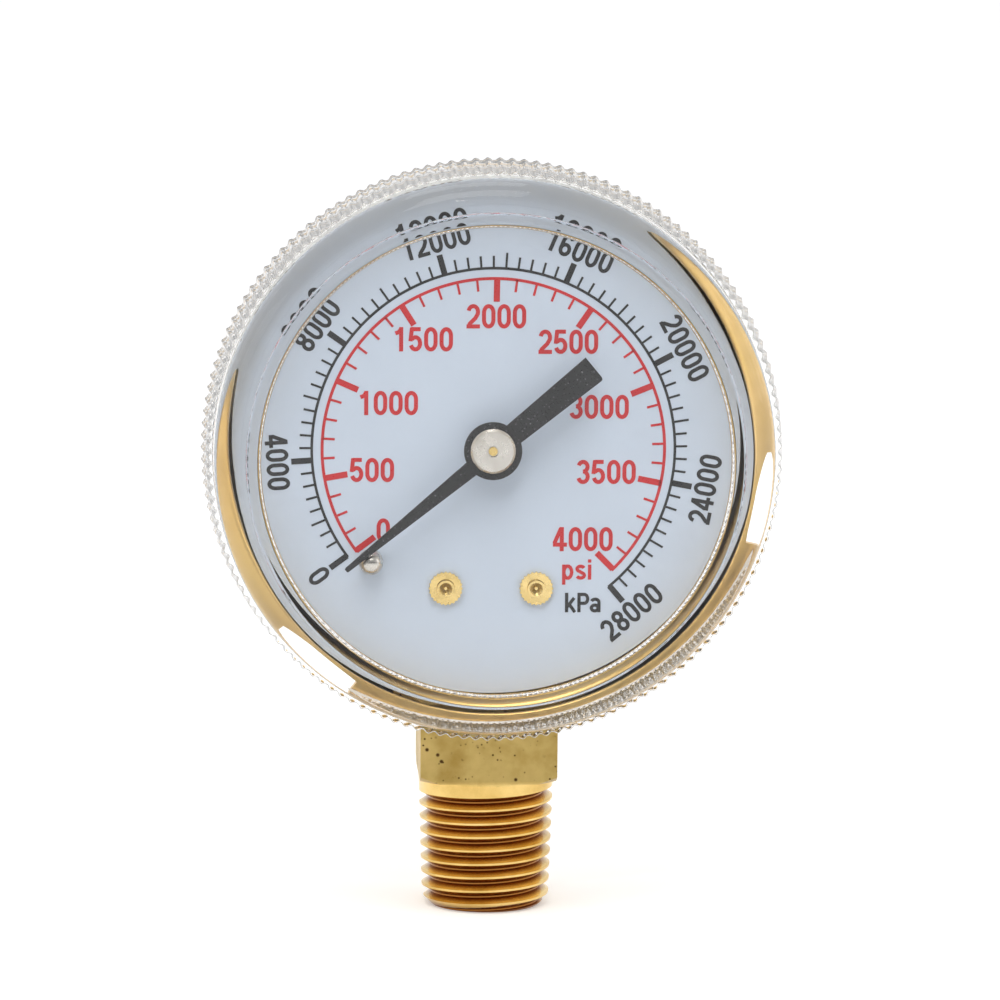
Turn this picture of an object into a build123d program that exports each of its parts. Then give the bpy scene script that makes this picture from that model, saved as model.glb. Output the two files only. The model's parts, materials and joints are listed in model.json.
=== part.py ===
"""Bottom-mount 50 mm pressure gauge with a coiled tube, 0 to 4000 psi.

Frame: millimetres, origin at the centre of the stem's lower end, +Z up along the stem,
and the dial faces -Y. Depths are Y values and grow towards the back of the case.
"""

from build123d import *
from math import acos, asin, atan, atan2, cos, degrees, pi, radians, sin, sqrt, tan
import os

os.makedirs("parts", exist_ok=True)

# ---------------------------------------------------------------- driving dimensions
dial_height = 48.5
dial_front = -7.0
dial_thickness = 0.6
dial_radius = 25.2

case_radius = 26.3
case_wall = 0.6
case_back = 9.5
case_corner = 3.0
rim_radius = 27.9
rim_front = -10.4
rim_back = -9.2
rim_fold = 0.5

lens_radius = 29.5
knurl_count = 150
knurl_depth = 0.3
knurl_front = -15.5
knurl_front_radius = 28.8
lens_back = -7.5
lens_seat = -11.1
skirt_bore = 28.3
seat_bore = 27.4
shoulder_radius = 28.15
shoulder_front = -18.65
shoulder_slope = 14.0
shoulder_round = 3.0
ring_radius = 25.0
ring_width = 1.4
ring_front = -19.0
window_front = -18.5
window_back = -15.8
cavity_bore = 27.05
cavity_round = 1.6
lug_count = 3
lug_angle = 16.0
lug_bore = 27.0
twist_angle = 20.0
notch_depth = 1.4

flat_width = 14.0
flat_top = 21.6
shank_width = 13.8
thread_pitch = 25.4 / 18
thread_end_radius = 6.55
thread_depth = 0.95
thread_top = 12.0
groove_start = -0.7
groove_turn = 30
neck_top = 13.6
corner_cut = 8.6
inlet_radius = 2.5
inlet_depth = 6.0
passage_radius = 1.5
passage_top = 26.0

head_width = 18.0
head_top = 28.6
head_front = -4.4
tab_front = 7.0
tab_top = 31.5
post_width = 6.0
post_top = 33.4
plate_thickness = 1.0

coil_radius = 18.5
coil_pitch = 3.2
coil_turns = 2 + 135 / 360
coil_start_angle = -80.0
coil_start_depth = 5.2
tube_thickness = 1.7
tube_width = 2.8
tube_wall = 0.35

gear_module = 0.25
pressure_angle = 20.0
pinion_teeth = 12
sector_teeth = 84
backlash = 0.07
pointer_sweep = 265.0
tail_radius = 3.3
link_length = 5.5
link_play = 0.16
gear_front = -0.6
gear_back = 0.2
link_front = -1.5
link_back = -0.9
ear_front = -2.9
ear_back = -1.7
saddle_front = -3.6
saddle_back = -0.9
back_plate_front = 2.8
collet_front = 1.1
collet_back = 2.3
spring_front = 1.3
spring_back = 2.0
spring_inner = 1.35
spring_step = 0.375
spring_half_turns = 10
stud_spot = (5.1, 0.53)

pointer_rest_angle = 219.6
pointer_length = 19.25
pointer_tail = 13.2
pointer_back = -9.45
pointer_front = -9.75
hub_back = -8.4
hub_cap = 0.32
stop_pin_radius = 16.85
stop_pin_angle = 223.5
rivet_spread = 4.6
rivet_drop = 14.4

slip = 0.02
gap = 0.05

# ---------------------------------------------------------------- derived values
case_bore = case_radius - case_wall
case_floor = case_back - case_wall
dial_back = dial_front + dial_thickness
bracket_front = head_front - plate_thickness
front_plate_back = head_front + plate_thickness
back_plate_back = back_plate_front + plate_thickness
thread_top_radius = thread_end_radius + neck_top / 32
stem_top = dial_height - case_bore + gap
gear_distance = gear_module * (pinion_teeth + sector_teeth) / 2
sector_sweep = pointer_sweep * pinion_teeth / sector_teeth
tip_radius = sqrt(gear_distance**2 - link_length**2) + tail_radius
link_bearing = 180 - degrees(atan(link_length / (tip_radius - tail_radius)))
tip_sweep = 2 * degrees(asin(tail_radius * sin(radians(sector_sweep / 2)) / tip_radius))
tip_angle = link_bearing - tip_sweep / 2
tail_angle = link_bearing - sector_sweep / 2
tooth_step = 360 / sector_teeth
first_tooth = -11 * tooth_step
last_tooth = 2 * tooth_step
tooth_total = 14
arc_start = first_tooth - tooth_step / 2
arc_end = last_tooth + tooth_step / 2

dial_axis = Axis((0, 0, dial_height), (0, 1, 0))
side_section = Plane(origin=(0, 0, dial_height), x_dir=(1, 0, 0), z_dir=(0, 0, 1))


def polar(radius, angle):
    """Point at a radius and an angle, anticlockwise from the right."""
    return (radius * cos(radians(angle)), radius * sin(radians(angle)))


def facing(depth, spot=(0, 0), angle=0):
    """Plane at a depth that looks at the viewer, placed and turned about the dial axis."""
    right, up = polar(1, angle)
    origin = (spot[0], depth, dial_height + spot[1])
    return Plane(origin=origin, x_dir=(right, 0, up), z_dir=(0, -1, 0))


def serrated_outline(tip, depth, count):
    """Closed outline of triangular teeth around a circle."""
    points = []
    for tooth in range(count):
        points.append(polar(tip, 360 * tooth / count))
        points.append(polar(tip - depth, 360 * (tooth + 0.5) / count))
    return Polyline(*points, close=True)


def gear_tooth(teeth, outer, root, steps=4):
    """Outline of one involute tooth on the X axis, thinned for backlash."""
    pitch_radius = gear_module * teeth / 2
    base = pitch_radius * cos(radians(pressure_angle))
    roll = tan(radians(pressure_angle)) - radians(pressure_angle)
    flank_turn = pi / (2 * teeth) - backlash / 4 / pitch_radius + roll
    start = max(base, pitch_radius - gear_module)
    flank = []
    for step in range(steps + 1):
        radius = start + (outer - start) * step / steps
        slope = acos(min(1, base / radius))
        flank.append(polar(radius, degrees(flank_turn - tan(slope) + slope)))
    other = [(x, -y) for x, y in reversed(flank)]
    foot = polar(root, degrees(flank_turn))
    other_foot = (foot[0], -foot[1])
    Polyline(foot, *flank)
    ThreePointArc(flank[-1], (outer, 0), other[0])
    Polyline(*other, other_foot)
    Line(other_foot, foot)


sector_pivot = (-gear_distance, 0)
tip_spot = polar(tip_radius, tip_angle)
tail_spot = (
    sector_pivot[0] + polar(tail_radius, tail_angle)[0],
    sector_pivot[1] + polar(tail_radius, tail_angle)[1],
)
link_run = (tail_spot[0] - tip_spot[0], tail_spot[1] - tip_spot[1])
link_reach = sqrt(link_run[0] ** 2 + link_run[1] ** 2)
link_angle = degrees(atan2(link_run[1], link_run[0]))
pillar_spots = [(3.5, 9.0), (3.5, -9.0), (-9.5, -9.8)]
rivet_spots = [(-rivet_spread, -rivet_drop), (rivet_spread, -rivet_drop)]
bracket_screw_spots = [(-5.5, 26 - dial_height), (5.5, 26 - dial_height)]
case_screw_spots = [(-5.5, 29 - dial_height), (5.5, 29 - dial_height)]

# ---------------------------------------------------------------- socket and its fittings
# Brass stem: taper pipe thread, square for the wrench, and a head inside the case.
with BuildPart() as socket:
    with BuildSketch(Plane.XZ):
        with BuildLine():
            Polyline(
                (0, 0),
                (thread_end_radius - thread_depth, 0),
                (thread_end_radius, thread_depth),
                (thread_top_radius, neck_top),
                (0, neck_top),
                (0, 0),
            )
        make_face()
    revolve(axis=Axis.Z)
    # Right-hand groove that leaves the thread standing on the 1:16 taper.
    groove_path = Edge.make_helix(
        thread_pitch,
        thread_top - groove_start,
        thread_end_radius + groove_start / 32,
        center=(0, 0, groove_start),
        angle=degrees(atan(1 / 32)),
    )
    groove_path = groove_path.rotate(Axis.Z, groove_turn)
    outward = Vector(1, 0, 0).rotate(Axis.Z, groove_turn)
    along = Vector(0, 1, 0).rotate(Axis.Z, groove_turn)
    with BuildSketch(Plane(origin=groove_path @ 0, x_dir=outward, z_dir=along)):
        with BuildLine():
            crest_half = thread_pitch / 2 - 0.09
            root_half = crest_half - thread_depth * tan(radians(30))
            Polyline(
                (0.3, crest_half),
                (0, crest_half),
                (-thread_depth, root_half),
                (-thread_depth, -root_half),
                (0, -crest_half),
                (0.3, -crest_half),
                (0.3, crest_half),
            )
        make_face()
    sweep(path=groove_path, is_frenet=True, mode=Mode.SUBTRACT)
    with BuildSketch(Plane.XY.offset(neck_top)):
        Rectangle(flat_width, flat_width)
    extrude(amount=flat_top - neck_top)
    # Narrower shank that passes through the case.
    with BuildSketch(Plane.XY.offset(flat_top)):
        Rectangle(shank_width, shank_width)
    extrude(amount=stem_top - flat_top)
    # The square's corners are turned off where the thread begins.
    with BuildSketch(Plane.XZ):
        with BuildLine():
            Polyline(
                (corner_cut, neck_top),
                (flat_width, neck_top),
                (flat_width, neck_top + (flat_width - corner_cut) * tan(radians(30))),
                (corner_cut, neck_top),
            )
        make_face()
    revolve(axis=Axis.Z, mode=Mode.SUBTRACT)
    # Head behind the bracket, seated on the case's inner wall.
    with BuildSketch(Plane.XY.offset(flat_top)):
        with Locations((0, (head_front + shank_width / 2) / 2)):
            Rectangle(shank_width, shank_width / 2 - head_front)
    extrude(amount=stem_top + 2 - flat_top)
    with BuildSketch(facing(head_front)):
        Circle(case_bore - gap)
        with Locations((0, head_top - dial_height - 10)):
            Rectangle(head_width, 20, mode=Mode.INTERSECT)
    extrude(amount=head_front - case_floor)
    with BuildSketch(facing(tab_front)):
        with Locations((0, tab_top - dial_height - 4)):
            Rectangle(head_width, 8)
    extrude(amount=tab_front - case_floor)
    # The case's rounded corner stays clear.
    with BuildSketch(side_section):
        with BuildLine():
            Polyline(
                (case_bore - case_corner, case_floor),
                (case_bore + 1, case_floor),
                (case_bore + 1, case_floor - case_corner - 1),
                (case_bore - case_corner, case_floor),
            )
        make_face()
    revolve(axis=dial_axis, mode=Mode.SUBTRACT)
    # Post with an open channel, in which the start of the coil is soldered.
    with BuildSketch(Plane.XY.offset(head_top - 1)):
        with Locations((0, coil_start_depth + 0.2)):
            Rectangle(post_width, tube_width + 0.6)
    extrude(amount=post_top - head_top + 1)
    with BuildSketch(side_section):
        with Locations((coil_radius, coil_start_depth - 0.1)):
            Rectangle(tube_thickness + 2 * gap, tube_width + 0.4)
    revolve(axis=dial_axis, mode=Mode.SUBTRACT)
    # Inlet, passage, and the slanted drilling up to the coil.
    with BuildSketch(Plane.XY):
        Circle(inlet_radius)
    extrude(amount=inlet_depth, mode=Mode.SUBTRACT)
    with BuildSketch(Plane.XY):
        Circle(passage_radius)
    extrude(amount=passage_top, mode=Mode.SUBTRACT)
    with BuildSketch(Plane.XY.offset(passage_top - 1)):
        Circle(0.6)
    with BuildSketch(Plane.XY.offset(head_top + 0.8)):
        with Locations((0, coil_start_depth)):
            Circle(0.6)
    loft(mode=Mode.SUBTRACT)
    with BuildSketch(facing(head_front)):
        with Locations(*bracket_screw_spots):
            Circle(1 + slip)
    extrude(amount=-4.2, mode=Mode.SUBTRACT)
    with BuildSketch(facing(case_floor)):
        with Locations(*case_screw_spots):
            Circle(1.5 + slip)
    extrude(amount=2, mode=Mode.SUBTRACT)
socket.part.label = "socket"
export_step(socket.part, "parts/socket.step")

with BuildPart() as restrictor_screw:
    with BuildSketch(Plane.XY.offset(inlet_depth)):
        Circle(passage_radius - slip)
        Circle(0.25, mode=Mode.SUBTRACT)
    extrude(amount=3)
    with BuildSketch(Plane.XY.offset(inlet_depth)):
        Rectangle(4, 0.5)
    extrude(amount=0.7, mode=Mode.SUBTRACT)
restrictor_screw.part.label = "restrictor_screw"
export_step(restrictor_screw.part, "parts/restrictor_screw.step")

# ---------------------------------------------------------------- case
# Drawn steel cup with a beaded rim.
with BuildPart() as case:
    with BuildSketch(side_section):
        with BuildLine():
            bead = (rim_back - rim_front) / 2
            floor_edge = case_bore - case_corner + case_wall
            outer_edge = case_radius - case_corner
            fold_edge = case_radius + rim_fold
            Line((0, case_back), (outer_edge, case_back))
            JernArc((outer_edge, case_back), (1, 0), case_corner, -90)
            Line((case_radius, case_back - case_corner), (case_radius, rim_back + rim_fold))
            JernArc((case_radius, rim_back + rim_fold), (0, -1), rim_fold, 90)
            Line((fold_edge, rim_back), (rim_radius - bead, rim_back))
            JernArc((rim_radius - bead, rim_back), (1, 0), bead, -180)
            Line((rim_radius - bead, rim_front), (case_bore + rim_fold, rim_front))
            JernArc((case_bore + rim_fold, rim_front), (-1, 0), rim_fold, -90)
            Line((case_bore, rim_front + rim_fold), (case_bore, case_back - case_corner))
            JernArc((case_bore, case_back - case_corner), (0, 1), case_corner - case_wall, 90)
            Line((floor_edge, case_floor), (0, case_floor))
            Line((0, case_floor), (0, case_back))
        make_face()
    revolve(axis=dial_axis)
    # Notches in the rim that let the lens lugs through.
    with BuildSketch(facing(rim_back + rim_fold)):
        with PolarLocations(rim_radius, lug_count, start_angle=90 + twist_angle):
            Rectangle(2 * notch_depth, 2 * rim_radius * sin(radians(lug_angle / 2 + 1.5)))
    extrude(amount=2.4, mode=Mode.SUBTRACT)
    # Square hole for the stem, screw holes, and the hole for the relief plug.
    with BuildSketch(Plane.XY.offset(dial_height - case_radius - 1)):
        Rectangle(shank_width + 2 * gap, shank_width + 2 * gap)
    extrude(amount=6, mode=Mode.SUBTRACT)
    with BuildSketch(facing(case_back)):
        with Locations(*case_screw_spots):
            Circle(1.6)
        with Locations((0, 12)):
            Circle(4)
    extrude(amount=2, mode=Mode.SUBTRACT)
case.part.label = "case"
export_step(case.part, "parts/case.step")

with BuildPart() as case_screws:
    with BuildSketch(facing(case_back)):
        with Locations(*case_screw_spots):
            Circle(2.8)
    extrude(amount=-1.7)
    fillet(case_screws.faces().sort_by(Axis.Y)[-2:].edges(), 0.7)
    with BuildSketch(facing(case_back)):
        with Locations(*case_screw_spots):
            Circle(1.5)
    extrude(amount=2.4)
    with BuildSketch(facing(case_back + 1.7)):
        with Locations(*case_screw_spots):
            Rectangle(3.2, 0.6)
            Rectangle(0.6, 3.2)
    extrude(amount=1, mode=Mode.SUBTRACT)
case_screws.part.label = "case_screws"
export_step(case_screws.part, "parts/case_screws.step")

# Rubber plug that blows out of the back if the tube bursts.
with BuildPart() as relief_plug:
    with BuildSketch(facing(case_back)):
        with Locations((0, 12)):
            Circle(5.5)
    extrude(amount=-1.2)
    fillet(relief_plug.faces().sort_by(Axis.Y)[-1].edges(), 0.5)
    with BuildSketch(facing(case_back)):
        with Locations((0, 12)):
            Circle(4 - slip)
    extrude(amount=case_wall)
    with BuildSketch(facing(case_floor)):
        with Locations((0, 12)):
            Circle(4.7)
    extrude(amount=1)
relief_plug.part.label = "relief_plug"
export_step(relief_plug.part, "parts/relief_plug.step")

# ---------------------------------------------------------------- lens and gasket
with BuildPart() as lens:
    for depth, radius in ((lens_back, lens_radius), (knurl_front, knurl_front_radius)):
        with BuildSketch(facing(depth)):
            with BuildLine():
                serrated_outline(radius, knurl_depth, knurl_count)
            make_face()
    loft(ruled=True)
    with BuildSketch(side_section):
        with BuildLine():
            fall = radians(shoulder_slope)
            rounding_start = shoulder_radius - shoulder_round * (1 - sin(fall))
            rounding_front = shoulder_front + (rounding_start - ring_radius) * tan(fall)
            Polyline(
                (0, lens_back),
                (0, window_front),
                (ring_radius - ring_width, window_front),
                (ring_radius - ring_width, ring_front),
                (ring_radius, ring_front),
                (ring_radius, shoulder_front),
                (rounding_start, rounding_front),
            )
            rounding = JernArc(
                (rounding_start, rounding_front),
                (cos(fall), sin(fall)),
                shoulder_round,
                90 - shoulder_slope,
            )
            Polyline(rounding @ 1, (shoulder_radius, lens_back), (0, lens_back))
        make_face()
    revolve(axis=dial_axis)
    with BuildSketch(side_section):
        with BuildLine():
            corner = JernArc((cavity_bore - cavity_round, window_back), (1, 0), cavity_round, 90)
            Polyline(
                corner @ 1,
                (seat_bore, lens_seat),
                (skirt_bore, lens_seat),
                (skirt_bore, lens_back + 1),
                (0, lens_back + 1),
                (0, window_back),
                corner @ 0,
            )
        make_face()
    revolve(axis=dial_axis, mode=Mode.SUBTRACT)
    # Lugs that turn in behind the case's rim.
    with BuildSketch(facing(rim_back + gap + 1)):
        Circle(skirt_bore + 0.3)
        Circle(lug_bore, mode=Mode.SUBTRACT)
        with BuildSketch(mode=Mode.INTERSECT):
            with PolarLocations(lug_bore, lug_count, start_angle=90):
                Rectangle(6, 2 * lug_bore * sin(radians(lug_angle / 2)))
    extrude(amount=1)
lens.part.label = "lens"
export_step(lens.part, "parts/lens.step")

with BuildPart() as lens_gasket:
    with BuildSketch(facing(rim_front)):
        Circle(skirt_bore - 0.2)
        Circle(seat_bore + 0.05, mode=Mode.SUBTRACT)
    extrude(amount=rim_front - lens_seat - gap)
lens_gasket.part.label = "lens_gasket"
export_step(lens_gasket.part, "parts/lens_gasket.step")

# ---------------------------------------------------------------- dial
with BuildPart() as dial:
    with BuildSketch(facing(dial_back)):
        Circle(dial_radius)
        Circle(1.5, mode=Mode.SUBTRACT)
        with Locations(*rivet_spots):
            Circle(0.8 + slip, mode=Mode.SUBTRACT)
        with Locations(polar(stop_pin_radius, stop_pin_angle)):
            Circle(0.6 + slip, mode=Mode.SUBTRACT)
    extrude(amount=dial_thickness)
dial.part.label = "dial"
export_step(dial.part, "parts/dial.step")

with BuildSketch() as rivet_outline:
    with BuildLine():
        serrated_outline(1.725, 0.14, 24)
    make_face()

# Brass rivets: a collar between dial and bracket, a serrated head, and a dimpled crown.
with BuildPart() as dial_rivets:
    with BuildSketch(facing(head_front + 0.4)):
        with Locations(*rivet_spots):
            Circle(1.25)
    extrude(amount=0.4)
    with BuildSketch(facing(head_front)):
        with Locations(*rivet_spots):
            Circle(0.8)
    extrude(amount=head_front - dial_front)
    with BuildSketch(facing(bracket_front)):
        with Locations(*rivet_spots):
            Circle(1.5)
    extrude(amount=bracket_front - dial_back)
    with BuildSketch(facing(dial_front)):
        with Locations(*rivet_spots):
            add(rivet_outline.sketch)
    extrude(amount=0.45)
    with BuildSketch(facing(dial_front - 0.45)):
        with Locations(*rivet_spots):
            Circle(0.95)
    extrude(amount=0.45, taper=6)
    with BuildSketch(facing(dial_front - 0.9)):
        with Locations(*rivet_spots):
            Circle(0.66)
    extrude(amount=-0.5, taper=45, mode=Mode.SUBTRACT)
dial_rivets.part.label = "dial_rivets"
export_step(dial_rivets.part, "parts/dial_rivets.step")

# Domed pin that the pointer rests against.
with BuildPart() as stop_pin:
    with BuildSketch(facing(dial_back + 0.25)):
        with Locations(polar(stop_pin_radius, stop_pin_angle)):
            Circle(0.6)
    extrude(amount=dial_thickness + 0.25)
    with BuildSketch(facing(dial_front)):
        with Locations(polar(stop_pin_radius, stop_pin_angle)):
            Circle(1.22)
    extrude(amount=2.55)
    fillet(stop_pin.faces().sort_by(Axis.Y)[0].edges(), 1.2)
stop_pin.part.label = "stop_pin"
export_step(stop_pin.part, "parts/stop_pin.step")

# ---------------------------------------------------------------- bracket and movement frame
with BuildPart() as movement_bracket:
    with BuildSketch(facing(head_front)):
        with BuildLine():
            for spot in bracket_screw_spots:
                CenterArc(spot, 2.4, 0, 360)
            for spot in rivet_spots:
                CenterArc(spot, 2.6, 0, 360)
        make_hull()
        with BuildLine():
            for spot in rivet_spots:
                CenterArc(spot, 2.6, 0, 360)
            for spot in pillar_spots:
                CenterArc(spot, 2.4, 0, 360)
        make_hull()
        Circle(3, mode=Mode.SUBTRACT)
        with Locations(*bracket_screw_spots):
            Circle(1.1, mode=Mode.SUBTRACT)
        with Locations(*rivet_spots, *pillar_spots):
            Circle(0.8 + slip, mode=Mode.SUBTRACT)
    extrude(amount=plate_thickness)
movement_bracket.part.label = "movement_bracket"
export_step(movement_bracket.part, "parts/movement_bracket.step")

with BuildPart() as bracket_screws:
    with BuildSketch(facing(bracket_front)):
        with Locations(*bracket_screw_spots):
            Circle(1.9)
    extrude(amount=0.8)
    with BuildSketch(facing(bracket_front)):
        with Locations(*bracket_screw_spots):
            Circle(1)
    extrude(amount=-5)
    with BuildSketch(facing(bracket_front - 0.8)):
        with Locations(*bracket_screw_spots):
            Rectangle(4, 0.5)
    extrude(amount=-0.4, mode=Mode.SUBTRACT)
bracket_screws.part.label = "bracket_screws"
export_step(bracket_screws.part, "parts/bracket_screws.step")

# The two movement plates share one outline, with pivot holes and pillar holes.
with BuildSketch() as movement_outline:
    with BuildLine():
        for spot in [*pillar_spots, sector_pivot]:
            CenterArc(spot, 2.3, 0, 360)
    make_hull()
    with Locations(*pillar_spots):
        Circle(0.8 + slip, mode=Mode.SUBTRACT)
    with Locations(sector_pivot):
        Circle(0.4 + slip, mode=Mode.SUBTRACT)

with BuildPart() as front_plate:
    with BuildSketch(facing(front_plate_back)):
        add(movement_outline.sketch)
        Circle(0.6 + slip, mode=Mode.SUBTRACT)
    extrude(amount=plate_thickness)
front_plate.part.label = "movement_front_plate"
export_step(front_plate.part, "parts/movement_front_plate.step")

with BuildPart() as back_plate:
    with BuildSketch(facing(back_plate_back)):
        add(movement_outline.sketch)
        Circle(0.4 + slip, mode=Mode.SUBTRACT)
        with Locations(stud_spot):
            Circle(0.5 + slip, mode=Mode.SUBTRACT)
    extrude(amount=plate_thickness)
back_plate.part.label = "movement_back_plate"
export_step(back_plate.part, "parts/movement_back_plate.step")

with BuildPart() as movement_pillars:
    with BuildSketch(facing(back_plate_front)):
        with Locations(*pillar_spots):
            Circle(1.5)
            Circle(0.8 + slip, mode=Mode.SUBTRACT)
    extrude(amount=back_plate_front - front_plate_back)
movement_pillars.part.label = "movement_pillars"
export_step(movement_pillars.part, "parts/movement_pillars.step")

with BuildPart() as front_movement_screws:
    with BuildSketch(facing(bracket_front)):
        with Locations(*pillar_spots):
            Circle(1.5)
    extrude(amount=0.8)
    with BuildSketch(facing(bracket_front)):
        with Locations(*pillar_spots):
            Circle(0.8)
    extrude(amount=-4.6)
    with BuildSketch(facing(bracket_front - 0.8)):
        with Locations(*pillar_spots):
            Rectangle(4, 0.4)
    extrude(amount=-0.35, mode=Mode.SUBTRACT)
front_movement_screws.part.label = "front_movement_screws"
export_step(front_movement_screws.part, "parts/front_movement_screws.step")

with BuildPart() as back_movement_screws:
    with BuildSketch(facing(back_plate_back)):
        with Locations(*pillar_spots):
            Circle(1.5)
    extrude(amount=-0.8)
    with BuildSketch(facing(back_plate_back)):
        with Locations(*pillar_spots):
            Circle(0.8)
    extrude(amount=3.2)
    with BuildSketch(facing(back_plate_back + 0.8)):
        with Locations(*pillar_spots):
            Rectangle(4, 0.4)
    extrude(amount=0.35, mode=Mode.SUBTRACT)
back_movement_screws.part.label = "back_movement_screws"
export_step(back_movement_screws.part, "parts/back_movement_screws.step")

# ---------------------------------------------------------------- pointer and its arbor
with BuildSketch() as pinion_tooth:
    with BuildLine():
        gear_tooth(pinion_teeth, 1.7, 1.15)
    make_face()

with BuildPart() as pinion_arbor:
    with BuildSketch(facing(hub_back + gap)):
        Circle(0.45)
    extrude(amount=hub_back + gap - pointer_front + 0.2)
    with BuildSketch(facing(front_plate_back + gap)):
        Circle(0.6)
    extrude(amount=front_plate_back - hub_back)
    with BuildSketch(facing(back_plate_front - gap)):
        Circle(0.8)
    extrude(amount=back_plate_front - front_plate_back - 2 * gap)
    with BuildSketch(facing(0.9)):
        Circle(1.2)
        with PolarLocations(0, pinion_teeth, start_angle=180 / pinion_teeth):
            add(pinion_tooth.sketch)
    extrude(amount=2.2)
    with BuildSketch(facing(back_plate_back + 0.2)):
        Circle(0.4)
    extrude(amount=plate_thickness + 0.2 + gap)
pinion_arbor.part.label = "pinion_arbor"
export_step(pinion_arbor.part, "parts/pinion_arbor.step")

# Blade with a round hub disc, a tapering arm and a broad tail.
blade_plane = facing(pointer_back, angle=pointer_rest_angle)
with BuildPart() as pointer:
    with BuildSketch(blade_plane):
        with BuildLine():
            Polyline((0, -0.9), (pointer_length - 0.25, -0.25), (pointer_length - 0.07, -0.18))
            Line((pointer_length - 0.07, -0.18), (pointer_length - 0.07, 0.18))
            Polyline((pointer_length - 0.07, 0.18), (pointer_length - 0.25, 0.25), (0, 0.9))
            Line((0, 0.9), (0, -0.9))
        make_face()
    extrude(amount=pointer_back - pointer_front)
    with BuildSketch(blade_plane):
        with BuildLine():
            FilletPolyline(
                (0, -1.05),
                (0, 1.05),
                (-pointer_tail, 1.43),
                (-pointer_tail, -1.43),
                radius=[0.01, 0.3, 0.3, 0.01],
                close=True,
            )
        make_face()
        Circle(2.94)
    extrude(amount=pointer_back - pointer_front)
    with BuildSketch(blade_plane):
        Circle(1.2 + slip)
    extrude(amount=pointer_back - pointer_front, mode=Mode.SUBTRACT)
pointer.part.label = "pointer"
export_step(pointer.part, "parts/pointer.step")

# Nickel bush: a shank behind the pointer and a bevelled cap in front of it.
with BuildPart() as pointer_hub:
    with BuildSketch(facing(hub_back)):
        Circle(1.2)
    extrude(amount=hub_back - pointer_front)
    with BuildSketch(facing(pointer_front)):
        Circle(2.275)
    extrude(amount=hub_cap)
    chamfer(pointer_hub.faces().sort_by(Axis.Y)[0].edges(), 0.22)
    with BuildSketch(facing(pointer_front - hub_cap)):
        Circle(0.565)
    extrude(amount=-hub_cap, mode=Mode.SUBTRACT)
    with BuildSketch(facing(pointer_front - hub_cap)):
        Circle(0.45 + slip)
    extrude(amount=-3, mode=Mode.SUBTRACT)
pointer_hub.part.label = "pointer_hub"
export_step(pointer_hub.part, "parts/pointer_hub.step")

with BuildPart() as hairspring_collet:
    with BuildSketch(facing(collet_back)):
        Circle(1.2)
        Circle(0.8 + slip, mode=Mode.SUBTRACT)
    extrude(amount=collet_back - collet_front)
hairspring_collet.part.label = "hairspring_collet"
export_step(hairspring_collet.part, "parts/hairspring_collet.step")

# Flat spiral drawn as semicircles about two centres.
with BuildPart() as hairspring:
    with BuildSketch(facing(spring_back)):
        with BuildLine():
            for half_turn in range(spring_half_turns):
                turned = half_turn % 2
                CenterArc(
                    (turned * spring_step, 0),
                    spring_inner + half_turn * spring_step,
                    180 * turned,
                    180,
                )
        trace(line_width=0.1)
    extrude(amount=spring_back - spring_front)
hairspring.part.label = "hairspring"
export_step(hairspring.part, "parts/hairspring.step")

with BuildPart() as hairspring_stud:
    with BuildSketch(facing(back_plate_back)):
        with Locations(stud_spot):
            Circle(0.5)
    extrude(amount=back_plate_back - collet_front)
hairspring_stud.part.label = "hairspring_stud"
export_step(hairspring_stud.part, "parts/hairspring_stud.step")

# ---------------------------------------------------------------- sector
with BuildSketch() as sector_tooth:
    with BuildLine():
        gear_tooth(sector_teeth, 10.66, 10.1)
    make_face()

# Toothed arc on two spokes, with a slotted tail for setting the span.
with BuildPart() as sector_gear:
    with BuildSketch(facing(gear_back, sector_pivot)):
        with BuildLine():
            Line(polar(8.4, arc_start), polar(10.2, arc_start))
            CenterArc((0, 0), 10.2, arc_start, arc_end - arc_start)
            Line(polar(10.2, arc_end), polar(8.4, arc_end))
            CenterArc((0, 0), 8.4, arc_end, arc_start - arc_end)
        make_face()
        with PolarLocations(0, tooth_total, first_tooth, last_tooth - first_tooth, endpoint=True):
            add(sector_tooth.sketch)
        with PolarLocations(4.5, 2, arc_start + 5, arc_end - arc_start - 10, endpoint=True):
            Rectangle(9, 1.3)
        Circle(2.2)
    extrude(amount=gear_back - gear_front)
    with BuildSketch(facing(gear_back, sector_pivot, tail_angle)):
        with Locations((2.4, 0)):
            SlotOverall(4.8, 2.6)
    extrude(amount=gear_back - gear_front)
    with BuildSketch(facing(gear_back, sector_pivot, tail_angle)):
        Circle(0.8 + slip)
        with Locations((tail_radius, 0)):
            SlotOverall(1.7, 2 * (0.5 + slip))
    extrude(amount=gear_back - gear_front, mode=Mode.SUBTRACT)
sector_gear.part.label = "sector_gear"
export_step(sector_gear.part, "parts/sector_gear.step")

with BuildPart() as sector_arbor:
    with BuildSketch(facing(back_plate_front - gap, sector_pivot)):
        Circle(0.8)
    extrude(amount=back_plate_front - front_plate_back - 2 * gap)
    with BuildSketch(facing(back_plate_back + 0.2, sector_pivot)):
        Circle(0.4)
    extrude(amount=back_plate_back + 0.2 - head_front)
sector_arbor.part.label = "sector_arbor"
export_step(sector_arbor.part, "parts/sector_arbor.step")

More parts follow.
